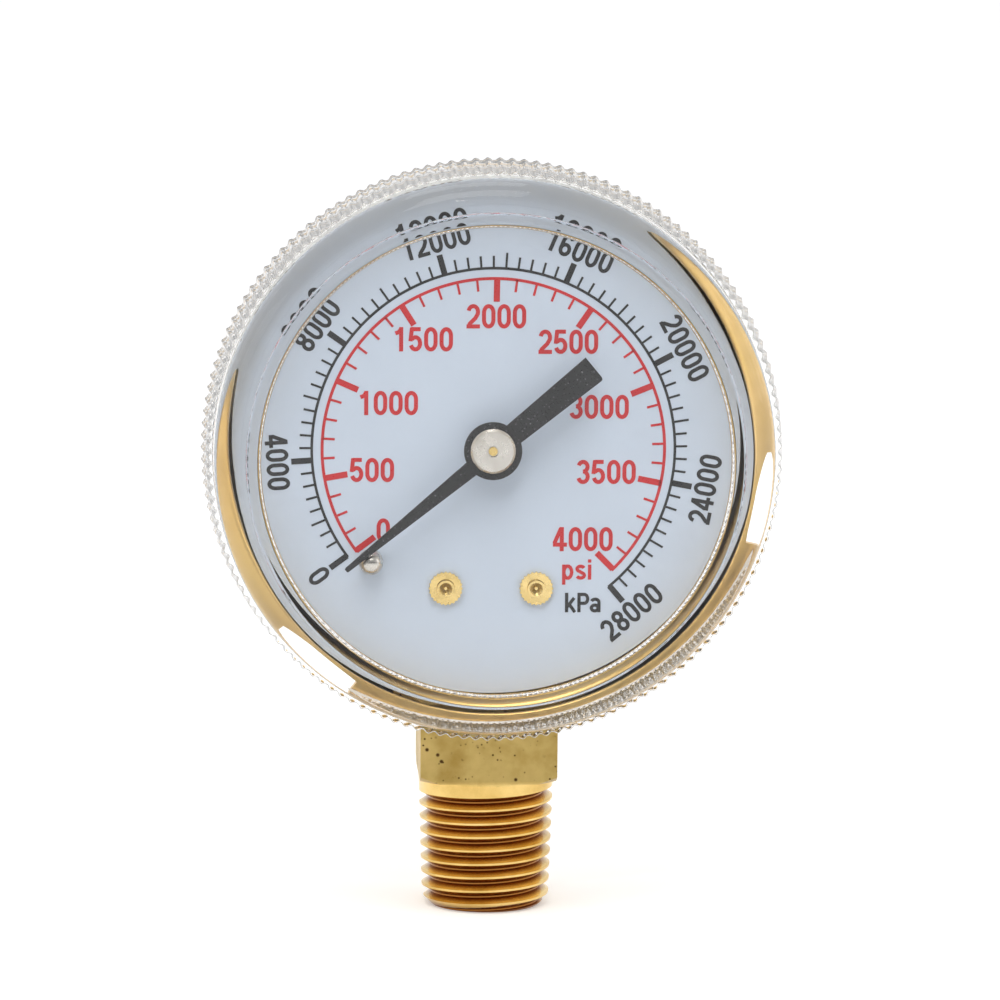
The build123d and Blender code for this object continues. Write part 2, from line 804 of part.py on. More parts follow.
# Shouldered screw with its nut, on which the link's far end rides.
with BuildPart() as tail_screw:
    with BuildSketch(facing(gear_back + 0.6, tail_spot)):
        RegularPolygon(1.1, 6)
    extrude(amount=0.6)
    with BuildSketch(facing(gear_back + 0.6, tail_spot)):
        Circle(0.5)
    extrude(amount=gear_back + 0.6 - link_front + gap)
    with BuildSketch(facing(gear_front, tail_spot)):
        Circle(0.9)
    extrude(amount=gear_front - link_back - gap)
    with BuildSketch(facing(link_front - gap, tail_spot)):
        Circle(0.95)
    extrude(amount=0.55)
    with BuildSketch(facing(link_front - gap - 0.55, tail_spot)):
        Rectangle(3, 0.3)
    extrude(amount=-0.25, mode=Mode.SUBTRACT)
tail_screw.part.label = "tail_screw"
export_step(tail_screw.part, "parts/tail_screw.step")

# ---------------------------------------------------------------- coiled tube and its tip
coil_plane = facing(coil_start_depth, angle=coil_start_angle)
coil_path = Edge.make_helix(coil_pitch, coil_pitch * coil_turns, coil_radius, lefthand=True)
coil_path = coil_path.moved(coil_plane.location)
bore_path = Edge.make_helix(
    coil_pitch, coil_pitch * (coil_turns - 0.012), coil_radius, lefthand=True
)
bore_path = bore_path.moved(coil_plane.location)
tube_section = Plane(
    origin=coil_path @ 0,
    x_dir=coil_plane.x_dir,
    z_dir=coil_path % 0,
)

# Flattened bronze tube, open at the socket and closed at its free end.
with BuildPart() as bourdon_tube:
    with BuildSketch(tube_section):
        SlotOverall(tube_width, tube_thickness, rotation=90)
    sweep(path=coil_path, is_frenet=True)
    with BuildSketch(tube_section):
        SlotOverall(tube_width - 2 * tube_wall, tube_thickness - 2 * tube_wall, rotation=90)
    sweep(path=bore_path, is_frenet=True, mode=Mode.SUBTRACT)
bourdon_tube.part.label = "bourdon_tube"
export_step(bourdon_tube.part, "parts/bourdon_tube.step")

# Saddle under the tube's free end, with an ear for the link's pin.
with BuildPart() as tube_tip:
    saddle_outer = coil_radius - tube_thickness / 2 - 3 * gap
    with BuildSketch(facing(saddle_back, angle=tip_angle)):
        with BuildLine():
            Line(polar(saddle_outer - 0.7, -5), polar(saddle_outer, -5))
            CenterArc((0, 0), saddle_outer, -5, 10)
            Line(polar(saddle_outer, 5), polar(saddle_outer - 0.7, 5))
            CenterArc((0, 0), saddle_outer - 0.7, 5, -10)
        make_face()
    extrude(amount=saddle_back - saddle_front)
    with BuildSketch(facing(ear_back, angle=tip_angle)):
        with Locations((tip_radius, 0)):
            Circle(1.2)
            Rectangle(saddle_outer - 0.5 - tip_radius, 2.4, align=(Align.MIN, Align.CENTER))
            Circle(0.5 + slip, mode=Mode.SUBTRACT)
    extrude(amount=ear_back - ear_front)
tube_tip.part.label = "tube_tip"
export_step(tube_tip.part, "parts/tube_tip.step")

with BuildPart() as tip_pin:
    with BuildSketch(facing(ear_front, tip_spot)):
        Circle(0.85)
    extrude(amount=0.3)
    with BuildSketch(facing(link_back + gap, tip_spot)):
        Circle(0.5)
    extrude(amount=link_back + gap - ear_front)
    with BuildSketch(facing(link_back + gap + 0.3, tip_spot)):
        Circle(0.85)
    extrude(amount=0.3)
tip_pin.part.label = "tip_pin"
export_step(tip_pin.part, "parts/tip_pin.step")

with BuildPart() as link:
    with BuildSketch(facing(link_back, tip_spot, link_angle)):
        with Locations((link_reach / 2, 0)):
            SlotOverall(link_reach + 2.2, 2.2)
        Circle(0.5 + slip, mode=Mode.SUBTRACT)
        with Locations((link_reach, 0)):
            Circle(0.5 + link_play, mode=Mode.SUBTRACT)
    extrude(amount=link_back - link_front)
link.part.label = "link"
export_step(link.part, "parts/link.step")
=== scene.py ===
"""Looks of the pressure gauge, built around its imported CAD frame. Units are metres."""

import json
from math import ceil, cos, pi, radians, sin, tan

import bpy
from mathutils import Matrix, Vector


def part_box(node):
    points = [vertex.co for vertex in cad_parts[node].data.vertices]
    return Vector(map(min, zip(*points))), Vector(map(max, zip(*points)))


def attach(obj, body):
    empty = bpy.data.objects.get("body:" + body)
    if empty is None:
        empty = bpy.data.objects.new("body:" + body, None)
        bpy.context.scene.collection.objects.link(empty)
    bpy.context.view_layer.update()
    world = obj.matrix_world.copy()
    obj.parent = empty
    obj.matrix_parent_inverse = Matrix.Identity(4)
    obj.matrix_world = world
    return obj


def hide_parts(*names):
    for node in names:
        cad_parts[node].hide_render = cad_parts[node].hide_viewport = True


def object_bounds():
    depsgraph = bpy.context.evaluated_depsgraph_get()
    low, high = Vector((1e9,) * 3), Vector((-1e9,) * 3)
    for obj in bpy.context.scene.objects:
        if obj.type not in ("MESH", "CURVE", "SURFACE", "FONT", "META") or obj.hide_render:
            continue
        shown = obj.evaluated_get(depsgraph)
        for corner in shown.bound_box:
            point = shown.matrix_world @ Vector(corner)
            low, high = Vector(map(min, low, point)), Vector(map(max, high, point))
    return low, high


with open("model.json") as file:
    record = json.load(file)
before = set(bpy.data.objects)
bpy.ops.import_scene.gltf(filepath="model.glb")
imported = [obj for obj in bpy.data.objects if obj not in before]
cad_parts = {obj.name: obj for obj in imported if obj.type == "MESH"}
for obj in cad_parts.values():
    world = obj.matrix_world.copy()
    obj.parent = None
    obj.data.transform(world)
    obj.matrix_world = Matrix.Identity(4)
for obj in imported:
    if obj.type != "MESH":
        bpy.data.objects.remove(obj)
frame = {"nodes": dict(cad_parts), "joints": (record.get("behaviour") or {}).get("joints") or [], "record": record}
cad_low, cad_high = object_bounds()

MM = 0.001
JOINTS = {joint["name"]: joint for joint in frame["joints"]}
AXIS_HEIGHT = JOINTS["pointer_arbor"]["pos_m"][2]
DIAL_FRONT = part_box("dial")[0].y


# ---------------------------------------------------------------- geometry helpers
SMOOTH_ANGLE = 30
LARGE_ROUNDING = 1 * MM
EASE = 0.05 * MM


def polar(radius, angle):
    """Point on the dial at a radius and an angle in degrees, anticlockwise from the right."""
    return (radius * cos(radians(angle)), radius * sin(radians(angle)))


def turned(point, angle):
    """Dial point turned about the origin."""
    x, y = point
    a = radians(angle)
    return (x * cos(a) - y * sin(a), x * sin(a) + y * cos(a))


def rounded(corners):
    """Section points with rounded corners. A corner is (radius, depth, rounding, kind)."""
    points = []
    count = len(corners)
    for index, (r, y, rounding, kind) in enumerate(corners):
        if rounding == 0 or index in (0, count - 1):
            points.append((r, y, kind))
            continue
        before, after = corners[index - 1], corners[index + 1]
        back = Vector((before[0] - r, before[1] - y)).normalized()
        on = Vector((after[0] - r, after[1] - y)).normalized()
        half = back.angle(on) / 2
        reach = rounding / tan(half)
        centre = Vector((r, y)) + (back + on).normalized() * rounding / sin(half)
        first = Vector((r, y)) + back * reach - centre
        last = Vector((r, y)) + on * reach - centre
        turn = first.angle_signed(last)
        steps = 6 if rounding < LARGE_ROUNDING else 20
        # A point just outside each end of the rounding keeps the straight runs flat.
        ease = min(EASE, rounding / 10)
        points.append((r + back.x * (reach + ease), y + back.y * (reach + ease), kind))
        for step in range(steps + 1):
            share = -turn * step / steps
            spoke = Matrix.Rotation(share, 2) @ first
            points.append((centre.x + spoke.x, centre.y + spoke.y, kind))
        points.append((r + on.x * (reach + ease), y + on.y * (reach + ease), kind))
    return points


def new_object(name, verts, faces, material, body):
    """Smooth-shaded mesh object that rides on a body."""
    mesh = bpy.data.meshes.new(name)
    mesh.from_pydata(verts, [], faces)
    mesh.validate()
    mesh.update()
    mesh.polygons.foreach_set("use_smooth", [True] * len(mesh.polygons))
    mesh.set_sharp_from_angle(angle=radians(SMOOTH_ANGLE))
    mesh.materials.append(material)
    obj = bpy.data.objects.new(name, mesh)
    bpy.context.scene.collection.objects.link(obj)
    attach(obj, body)
    return obj


def lathe(points, segments, radius_of):
    """Closed solid of revolution about the dial's axis; the first and last points lie on it."""
    verts, faces = [], []
    for r, y, kind in points[1:-1]:
        for segment in range(segments):
            angle = 2 * pi * segment / segments
            radius = radius_of(r, kind, segment)
            verts.append((radius * cos(angle), y, AXIS_HEIGHT + radius * sin(angle)))
    rings = len(points) - 2
    for ring in range(rings - 1):
        for segment in range(segments):
            following = (segment + 1) % segments
            a, b = ring * segments + segment, ring * segments + following
            faces.append((a, a + segments, b + segments, b))
    first, last = len(verts), len(verts) + 1
    verts.append((0, points[0][1], AXIS_HEIGHT))
    verts.append((0, points[-1][1], AXIS_HEIGHT))
    end = (rings - 1) * segments
    for segment in range(segments):
        following = (segment + 1) % segments
        faces.append((first, segment, following))
        faces.append((last, end + following, end + segment))
    return verts, faces


# ---------------------------------------------------------------- materials
class Shader:
    """Small builder around one Principled material."""

    def __init__(self, name, colour, roughness, metallic=0.0):
        self.material = bpy.data.materials.new(name)
        self.material.use_nodes = True
        self.tree = self.material.node_tree
        self.surface = self.tree.nodes["Principled BSDF"]
        self.set("Base Color", (*colour, 1))
        self.set("Roughness", roughness)
        self.set("Metallic", metallic)
        self.place = self.node("ShaderNodeTexCoord").outputs["Object"]

    def node(self, kind, **values):
        node = self.tree.nodes.new(kind)
        for key, value in values.items():
            setattr(node, key, value)
        return node

    def link(self, source, target):
        self.tree.links.new(source, target)

    def set(self, socket, value):
        self.surface.inputs[socket].default_value = value

    def noise(self, scale, detail=3.0, stretch=(1, 1, 1)):
        """Noise value, with its scale in features per metre."""
        mapping = self.node("ShaderNodeMapping")
        mapping.inputs["Scale"].default_value = stretch
        self.link(self.place, mapping.inputs["Vector"])
        noise = self.node("ShaderNodeTexNoise")
        noise.inputs["Scale"].default_value = scale
        noise.inputs["Detail"].default_value = detail
        noise.inputs["Roughness"].default_value = 0.55
        self.link(mapping.outputs["Vector"], noise.inputs["Vector"])
        return noise.outputs["Fac"]

    def ramp(self, value, *stops):
        """Colour ramp through (position, colour) stops."""
        ramp = self.node("ShaderNodeValToRGB")
        elements = ramp.color_ramp.elements
        while len(elements) < len(stops):
            elements.new(0.5)
        for element, (position, colour) in zip(elements, stops):
            element.position = position
            element.color = (*colour, 1)
        self.link(value, ramp.inputs["Fac"])
        return ramp.outputs["Color"]

    def span(self, value, low, high, start=0.0, end=1.0):
        """Value mapped from start..end to low..high, clamped."""
        span = self.node("ShaderNodeMapRange")
        limits = {"From Min": start, "From Max": end, "To Min": low, "To Max": high}
        for socket, number in limits.items():
            span.inputs[socket].default_value = number
        self.link(value, span.inputs["Value"])
        return span.outputs["Result"]

    def mix(self, factor, first, second):
        """Colour between two colours, each a tuple or a socket."""
        mix = self.node("ShaderNodeMix", data_type="RGBA")
        sockets = (mix.inputs[0], mix.inputs[6], mix.inputs[7])
        for socket, value in zip(sockets, (factor, first, second)):
            if isinstance(value, (int, float)):
                socket.default_value = value
            elif isinstance(value, tuple):
                socket.default_value = (*value, 1)
            else:
                self.link(value, socket)
        return mix.outputs[2]

    def math(self, operation, *values):
        """Result of a math node whose inputs are numbers or sockets."""
        result = self.node("ShaderNodeMath", operation=operation)
        for socket, value in zip(result.inputs, values):
            if isinstance(value, (int, float)):
                socket.default_value = value
            else:
                self.link(value, socket)
        return result.outputs[0]

    def colour(self, value):
        self.link(value, self.surface.inputs["Base Color"])

    def gloss(self, value):
        self.link(value, self.surface.inputs["Roughness"])

    def bump(self, value, height, strength=1.0):
        """Relief whose full height is given in metres."""
        bump = self.node("ShaderNodeBump")
        bump.inputs["Distance"].default_value = height
        bump.inputs["Strength"].default_value = strength
        self.link(value, bump.inputs["Height"])
        self.link(bump.outputs["Normal"], self.surface.inputs["Normal"])


def worn_metal(name, dark, light, roughness):
    """Metal with cloudy tarnish, fine machining grain and gloss between two roughnesses."""
    shader = Shader(name, light, roughness[0], metallic=1.0)
    cloud = shader.noise(160, detail=4)
    grain = shader.noise(900, detail=2)
    shader.colour(shader.ramp(cloud, (0.35, dark), (0.65, light)))
    shader.gloss(shader.span(grain, roughness[0], roughness[1], 0.3, 0.7))
    shader.bump(grain, 0.004 * MM)
    return shader.material


FLAT_BOTTOM = 13.6 * MM
THREAD_END_RADIUS = 6.55 * MM
THREAD_TAPER = 1 / 32
# Brown painted shade for the thread's roots and lower flanks.
ROOT_SHADE_BROWN = (0.3, 0.125, 0.03)
PIT_BROWN = (0.07, 0.035, 0.012)


def stem_brass():
    """Machined brass: dull and pitted on the flats, golden on the thread, with brown painted shade in its roots.
    """
    shader = Shader("stem_brass", (0.6, 0.42, 0.14), 0.2, metallic=1.0)
    split = shader.node("ShaderNodeSeparateXYZ")
    shader.link(shader.place, split.inputs["Vector"])
    height = split.outputs["Z"]
    flats = shader.span(height, 0, 1, FLAT_BOTTOM - 0.3 * MM, FLAT_BOTTOM + 0.3 * MM)

    level = shader.node("ShaderNodeVectorMath", operation="MULTIPLY")
    level.inputs[1].default_value = (1, 1, 0)
    shader.link(shader.place, level.inputs[0])
    radius = shader.node("ShaderNodeVectorMath", operation="LENGTH")
    shader.link(level.outputs["Vector"], radius.inputs[0])
    crest = shader.math("MULTIPLY_ADD", height, THREAD_TAPER, THREAD_END_RADIUS)
    depth = shader.math("SUBTRACT", crest, radius.outputs["Value"])
    # Mask of painted shade: from a quarter millimetre below the thread's crest down into the root.
    root_shade = shader.span(depth, 0, 1, 0.25 * MM, 0.8 * MM)

    cloud = shader.noise(220, detail=5)
    dull = shader.ramp(
        cloud,
        (0.3, (0.36, 0.235, 0.06)),
        (0.5, (0.5, 0.36, 0.12)),
        (0.72, (0.6, 0.42, 0.16)),
    )
    bright = shader.ramp(
        cloud,
        (0.3, (0.62, 0.4, 0.11)),
        (0.55, (0.8, 0.56, 0.2)),
        (0.75, (0.86, 0.64, 0.28)),
    )
    # The thread's roots get brown painted shade.
    bright = shader.mix(root_shade, bright, ROOT_SHADE_BROWN)
    base = shader.mix(flats, bright, dull)
    for cells_per_metre, size in ((900, 0.22), (1900, 0.26)):
        cells = shader.node("ShaderNodeTexVoronoi")
        cells.inputs["Scale"].default_value = cells_per_metre
        shader.link(shader.place, cells.inputs["Vector"])
        patches = shader.span(shader.noise(cells_per_metre * 0.35, detail=2), 0, 1, 0.5, 0.58)
        pit = shader.span(cells.outputs["Distance"], 1, 0, size / 2, size)
        pits = shader.math("MULTIPLY", shader.math("MULTIPLY", pit, patches), flats)
        base = shader.mix(pits, base, PIT_BROWN)
    shader.colour(base)

    grain = shader.noise(1500, detail=3, stretch=(1, 1, 0.5))
    polished = shader.span(grain, 0.12, 0.24, 0.3, 0.7)
    matt = shader.span(grain, 0.36, 0.5, 0.3, 0.7)
    gloss = shader.node("ShaderNodeMix", data_type="FLOAT")
    shader.link(flats, gloss.inputs[0])
    shader.link(polished, gloss.inputs[2])
    shader.link(matt, gloss.inputs[3])
    shader.gloss(gloss.outputs[0])
    shader.bump(grain, 0.012 * MM)
    return shader.material


def case_gold():
    """Yellow-passivated steel with a faint cloudy tint."""
    shader = Shader("case_gold", (0.8, 0.55, 0.2), 0.3, metallic=1.0)
    cloud = shader.noise(45, detail=2)
    shader.colour(shader.ramp(
        cloud,
        (0.3, (0.72, 0.45, 0.15)),
        (0.5, (0.84, 0.58, 0.22)),
        (0.7, (0.8, 0.55, 0.28)),
    ))
    grain = shader.noise(600, detail=3)
    shader.gloss(shader.span(grain, 0.28, 0.4, 0.3, 0.7))
    shader.bump(shader.noise(300, detail=2), 0.004 * MM)
    return shader.material


POLYCARBONATE_IOR = 1.58


def clear_plastic():
    """Clear polycarbonate. Lamps shine through it, so what is behind it is lit."""
    shader = Shader("lens_clear", (1.0, 1.0, 1.0), 0.0)
    shader.set("Transmission Weight", 1.0)
    shader.set("IOR", POLYCARBONATE_IOR)
    shader.set("Specular Tint", (0.3, 0.3, 0.3, 1))
    shader.bump(shader.noise(120, detail=2), 0.002 * MM, strength=0.3)
    path = shader.node("ShaderNodeLightPath")
    clear = shader.node("ShaderNodeBsdfTransparent")
    blend = shader.node("ShaderNodeMixShader")
    shader.link(path.outputs["Is Shadow Ray"], blend.inputs["Fac"])
    shader.link(shader.surface.outputs["BSDF"], blend.inputs[1])
    shader.link(clear.outputs["BSDF"], blend.inputs[2])
    shader.link(blend.outputs["Shader"], shader.tree.nodes["Material Output"].inputs["Surface"])
    return shader.material


def paint(name, colour, variation, roughness):
    """Satin paint or ink with slight unevenness of its colour."""
    shader = Shader(name, colour, roughness)
    cloud = shader.noise(180, detail=4)
    low = tuple(c * (1 - variation) for c in colour)
    high = tuple(min(1, c * (1 + variation)) for c in colour)
    shader.colour(shader.ramp(cloud, (0.3, low), (0.7, high)))
    fine = shader.noise(1200, detail=2)
    shader.gloss(shader.span(fine, roughness * 0.85, roughness * 1.15, 0.3, 0.7))
    shader.bump(fine, 0.003 * MM)
    return shader.material


def pointer_paint():
    """Matt black with light specks of dust."""
    shader = Shader("pointer_black", (0.05, 0.05, 0.055), 0.6)
    specks = shader.noise(4200, detail=1)
    cloud = shader.noise(300)
    base = shader.ramp(cloud, (0.3, (0.009, 0.009, 0.01)), (0.7, (0.018, 0.018, 0.02)))
    dust = shader.span(specks, 0, 1, 0.66, 0.72)
    shader.colour(shader.mix(dust, base, (0.2, 0.2, 0.21)))
    shader.bump(specks, 0.01 * MM)
    return shader.material


def rubber(name, colour):
    """Moulded rubber or silicone with a fine bloom."""
    shader = Shader(name, colour, 0.7)
    cloud = shader.noise(400, detail=4)
    bloom = tuple(min(1, c * 1.3 + 0.01) for c in colour)
    shader.colour(shader.ramp(cloud, (0.3, colour), (0.7, bloom)))
    shader.gloss(shader.span(cloud, 0.6, 0.8, 0.3, 0.7))
    shader.bump(shader.noise(2500, detail=2), 0.01 * MM)
    return shader.material


FINISHES = {
    "stem_brass": stem_brass(),
    "brass": worn_metal("brass", (0.55, 0.38, 0.12), (0.8, 0.6, 0.25), (0.18, 0.34)),
    "bronze": worn_metal("bronze", (0.5, 0.3, 0.14), (0.66, 0.42, 0.22), (0.3, 0.45)),
    "case_gold": case_gold(),
    "screw_steel": worn_metal("screw_steel", (0.5, 0.5, 0.51), (0.7, 0.7, 0.71), (0.2, 0.35)),
    "nickel": worn_metal("nickel", (0.5, 0.47, 0.42), (0.68, 0.65, 0.6), (0.22, 0.36)),
    "rubber": rubber("rubber", (0.025, 0.025, 0.025)),
    "gasket": rubber("gasket", (0.62, 0.62, 0.6)),
    "lens_clear": clear_plastic(),
    "dial_paint": paint("dial_paint", (0.57, 0.645, 0.745), 0.015, 0.45),
    "pointer_black": pointer_paint(),
}
RED_INK = paint("red_ink", (0.55, 0.012, 0.016), 0.06, 0.4)
BLACK_INK = paint("black_ink", (0.006, 0.006, 0.007), 0.1, 0.4)

for part in frame["record"]["subparts"]:
    node = frame["nodes"][part["node"]]
    node.data.materials.clear()
    node.data.materials.append(FINISHES[part["material_slot"]])


# ---------------------------------------------------------------- lens
KNURL_TEETH = 150
TOOTH_STEPS = 8
KNURL_DEPTH = 0.3 * MM
KNURL_TAPER = 0.7 * MM
KNURL_LENGTH = 8.0 * MM
LUG_ANGLE = 16
LUG_SPACING = 120
LUG_BORE = 27.0 * MM
RING_RADIUS = 25.0 * MM
WINDOW_RADIUS = 23.6 * MM
SHOULDER_RADIUS = 28.15 * MM
SHOULDER_SLOPE = 14
SHOULDER_ROUNDING = 2.9 * MM
SEAT_BORE = 27.4 * MM
CAVITY_RADIUS = 27.0 * MM
CAVITY_ROUNDING = 1.6 * MM


def make_lens():
    """Clear lens as one thick refracting solid with a knurled rim and three lugs."""
    low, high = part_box("lens")
    rim = (high.x - low.x) / 2
    front, back = low.y, high.y
    window_front = front + 0.5 * MM
    window_back = front + 3.2 * MM
    ring_foot = front + 0.35 * MM
    knurl_front = back - KNURL_LENGTH
    knurl_radius = rim - KNURL_TAPER
    seat = back - 3.6 * MM
    lug_back, lug_front = back - 0.65 * MM, back - 1.65 * MM
    skirt = rim - 1.2 * MM
    rise = (SHOULDER_RADIUS - RING_RADIUS) * tan(radians(SHOULDER_SLOPE))
    # Each lug edge is a doubled corner, so that a lug's ends are flat.
    corners = [
        (0, window_front, 0, "plain"),
        (WINDOW_RADIUS, window_front, 0.15 * MM, "plain"),
        (WINDOW_RADIUS, front, 0.32 * MM, "plain"),
        (RING_RADIUS, front, 0.32 * MM, "plain"),
        (RING_RADIUS, ring_foot, 0.04 * MM, "plain"),
        (SHOULDER_RADIUS, ring_foot + rise, SHOULDER_ROUNDING, "plain"),
        (SHOULDER_RADIUS, knurl_front, 0, "plain"),
        (knurl_radius, knurl_front, 0.2 * MM, "knurl"),
        (rim, back, 0.3 * MM, "knurl"),
        (skirt, back, 0.1 * MM, "plain"),
        (skirt, lug_back, 0, "plain"),
        (skirt, lug_back, 0, "lug"),
        (skirt, lug_front, 0, "lug"),
        (skirt, lug_front, 0, "plain"),
        (skirt, seat, 0.1 * MM, "plain"),
        (SEAT_BORE, seat, 0.1 * MM, "plain"),
        (CAVITY_RADIUS, window_back, CAVITY_ROUNDING, "plain"),
        (0, window_back, 0, "plain"),
    ]
    segments = KNURL_TEETH * TOOTH_STEPS

    def radius_of(r, kind, segment):
        """Radius of a section point at a segment, with the knurl's teeth and the lugs."""
        if kind == "knurl":
            share = segment % TOOTH_STEPS / TOOTH_STEPS
            return r - KNURL_DEPTH * (1 - cos(2 * pi * share)) / 2
        if kind == "lug":
            angle = 360 * segment / segments
            away = min((angle - 90) % LUG_SPACING, (90 - angle) % LUG_SPACING)
            return LUG_BORE if away < LUG_ANGLE / 2 else r
        return r

    verts, faces = lathe(rounded(corners), segments, radius_of)
    lens = new_object("clear_lens", verts, faces, FINISHES["lens_clear"], "lens_cover")
    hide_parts("lens")


make_lens()


# ---------------------------------------------------------------- dial print
INK = 0.03 * MM
STROKE_LEVELS = 7
STROKE_STEP = 0.06
# Widths and gaps of the lettering, in units of its height.
STROKE = 0.165
HALF = STROKE / 2
GLYPH = 0.385
GAP = 0.08
NARROW_STEP = 0.36


def arc(centre, reach, start, end, steps=14):
    """Points on an ellipse from one angle to another."""
    turn = (end - start) / steps
    return [
        (centre[0] + reach[0] * cos(radians(start + turn * i)),
         centre[1] + reach[1] * sin(radians(start + turn * i)))
        for i in range(steps + 1)
    ]


def loop(centre, reach):
    """Closed ellipse, without its last point, which is the first one again."""
    return (arc(centre, reach, 0, 360)[:-1], True)


def line(*points):
    """Open stroke through points."""
    return (list(points), False)


def glyph(letter):
    """Centre lines of a letter in units of its height: (points, closed) for each stroke."""
    w, mid, top = GLYPH, GLYPH / 2, 1 - HALF
    if letter == "0":
        upper = arc((mid, top - 0.27), (mid, 0.27), 0, 180)
        lower = arc((mid, HALF + 0.27), (mid, 0.27), 180, 360)
        return [(upper + lower, True)]
    if letter == "1":
        stem = line((w * 0.62, 0), (w * 0.62, 1))
        return [stem, line((w * 0.6, 0.93), (w * 0.4, 0.8), (0.0, 0.74))]
    if letter == "2":
        hook = arc((mid, top - 0.24), (mid, 0.24), 168, -20)
        body = line(*hook, (w * 0.72, 0.42), (w * 0.12, 0.19), (0.03, HALF))
        return [body, line((-HALF, HALF), (w + HALF, HALF))]
    if letter == "3":
        upper = arc((mid, top - 0.2), (mid - 0.01, 0.2), 165, -90)
        lower = arc((mid, HALF + 0.22), (mid, 0.22), 90, -165)
        return [line(*upper), line(*lower)]
    if letter == "4":
        stem = w * 0.68
        return [
            line((stem, 0), (stem, 1)),
            line((stem - 0.03, 0.96), (-0.04, 0.33)),
            line((-0.1, 0.27), (w + 0.09, 0.27)),
        ]
    if letter == "5":
        bowl = arc((mid, HALF + 0.25), (mid, 0.25), 140, -162)
        return [
            line((0.02, top), (w + 0.02, top)),
            line((0.05, 0.98), (-0.01, 0.42)),
            line(*bowl),
        ]
    if letter == "6":
        hook = arc((mid, top - 0.27), (mid, 0.27), 28, 180)
        return [line(*hook, (0, 0.3)), loop((mid, HALF + 0.22), (mid, 0.22))]
    if letter == "8":
        upper = loop((mid, top - 0.19), (mid - 0.02, 0.19))
        return [upper, loop((mid, HALF + 0.215), (mid, 0.215))]
    if letter == "p":
        return [line((0, -0.25), (0, 0.74)), loop((mid, 0.37), (mid, 0.3))]
    if letter == "s":
        upper = arc((mid, 0.53), (mid - 0.02, 0.13), 20, 250)
        lower = arc((mid, 0.21), (mid - 0.01, 0.13), 70, -160)
        return [line(*upper, *lower)]
    if letter == "i":
        return [line((0, 0), (0, 0.74)), line((0, 0.84), (0, 1))]
    if letter == "k":
        return [
            line((0, 0), (0, 1)),
            line((0.02, 0.27), (w, 0.74)),
            line((0.13, 0.42), (w + 0.04, 0)),
        ]
    if letter == "P":
        bowl = arc((0.26, 0.69), (0.18, top - 0.69), 90, -90)
        return [line((0, 0), (0, 1)), line((0, top), *bowl, (0, 0.69 * 2 - top))]
    if letter == "a":
        over = arc((mid, 0.52), (mid, 0.15), 160, 0)
        return [line(*over, (w, 0)), loop((mid - 0.02, 0.22), (mid - 0.02, 0.15))]
    raise ValueError(f"no glyph for {letter!r}")


def advance(letter):
    """Step from one letter to the next, in units of the height."""
    return NARROW_STEP if letter == "i" else GLYPH + STROKE + GAP


class Print:
    """Flat ink on the dial, gathered as closed ribbons."""

    def __init__(self):
        self.verts, self.faces = [], []
        self.strokes = 0

    def ribbon(self, points, width, closed=False):
        """Ribbon of ink along dial points; ribbons that cross differ a little in height."""
        top = DIAL_FRONT - INK * (1 + self.strokes % STROKE_LEVELS * STROKE_STEP)
        self.strokes += 1
        count = len(points)
        sides = []
        for index, (x, y) in enumerate(points):
            before = points[index - 1] if closed or index else points[index]
            after = points[(index + 1) % count] if closed or index < count - 1 else points[index]
            run_in = Vector((x - before[0], y - before[1]))
            run_out = Vector((after[0] - x, after[1] - y))
            run_in = run_in.normalized() if run_in.length else run_out.normalized()
            run_out = run_out.normalized() if run_out.length else run_in
            along = (run_in + run_out).normalized()
            across = Vector((-along.y, along.x)) * width / 2
            across /= max(0.5, along.dot(run_out))
            sides.append(((x + across.x, y + across.y), (x - across.x, y - across.y)))
        start = len(self.verts)
        for left, right in sides:
            for spot in (left, right):
                x, z = spot[0] + PRINT_SHIFT[0], spot[1] + PRINT_SHIFT[1]
                for depth in (top, DIAL_FRONT + INK / 3):
                    self.verts.append((x, depth, AXIS_HEIGHT + z))
        for index in range(count if closed else count - 1):
            a = start + 4 * index
            b = start + 4 * ((index + 1) % count)
            self.faces += [
                (a, a + 2, b + 2, b),
                (a + 1, b + 1, b + 3, a + 3),
                (a, b, b + 1, a + 1),
                (a + 2, a + 3, b + 3, b + 2),
            ]
        if not closed:
            a, b = start, start + 4 * (count - 1)
            self.faces += [(a, a + 1, a + 3, a + 2), (b, b + 2, b + 3, b + 1)]

    def tick(self, angle, inner, outer, width):
        """Radial line of the scale."""
        self.ribbon([polar(inner, angle), polar(outer, angle)], width)

    def ring(self, radius, start, end, width):
        """Arc of the scale."""
        steps = ceil(abs(end - start) / 1.5)
        self.ribbon(arc((0, 0), (radius, radius), start, end, steps), width)

    def text(self, word, centre, height, angle=0):
        """Word centred on a dial point and turned by an angle."""
        widths = [advance(letter) for letter in word]
        last = 0 if word[-1] == "i" else GLYPH
        total = sum(widths[:-1]) + last
        x = -total / 2
        for letter, width in zip(word, widths):
            for points, closed in glyph(letter):
                placed = []
                for px, py in points:
                    spot = turned(((x + px) * height, (py - 0.5) * height), angle)
                    placed.append((centre[0] + spot[0], centre[1] + spot[1]))
                self.ribbon(placed, STROKE * height, closed)
            x += width

    def finish(self, name, ink):
        """Mesh object of the ink gathered so far."""
        return new_object(name, self.verts, self.faces, ink, "gauge_body")


PRINT_SHIFT = (0.16 * MM, -0.14 * MM)
PSI_FULL_ANGLE = -45.2
PSI_STEP = 6.72
PSI_ZERO_ANGLE = 216.9
KPA_FULL_ANGLE = -49.7
KPA_STEP = 3.89
KPA_ZERO_ANGLE = 216.5
RED_RADIUS = 17.35 * MM
RED_MAJOR_INNER = 15.0 * MM
RED_MINOR_INNER = 16.1 * MM
BLACK_RADIUS = 18.4 * MM


def psi_angle(value):
    """Dial angle of a psi value. The scale starts late, so zero has its own angle."""
    return PSI_ZERO_ANGLE if value == 0 else PSI_FULL_ANGLE + (4000 - value) / 100 * PSI_STEP


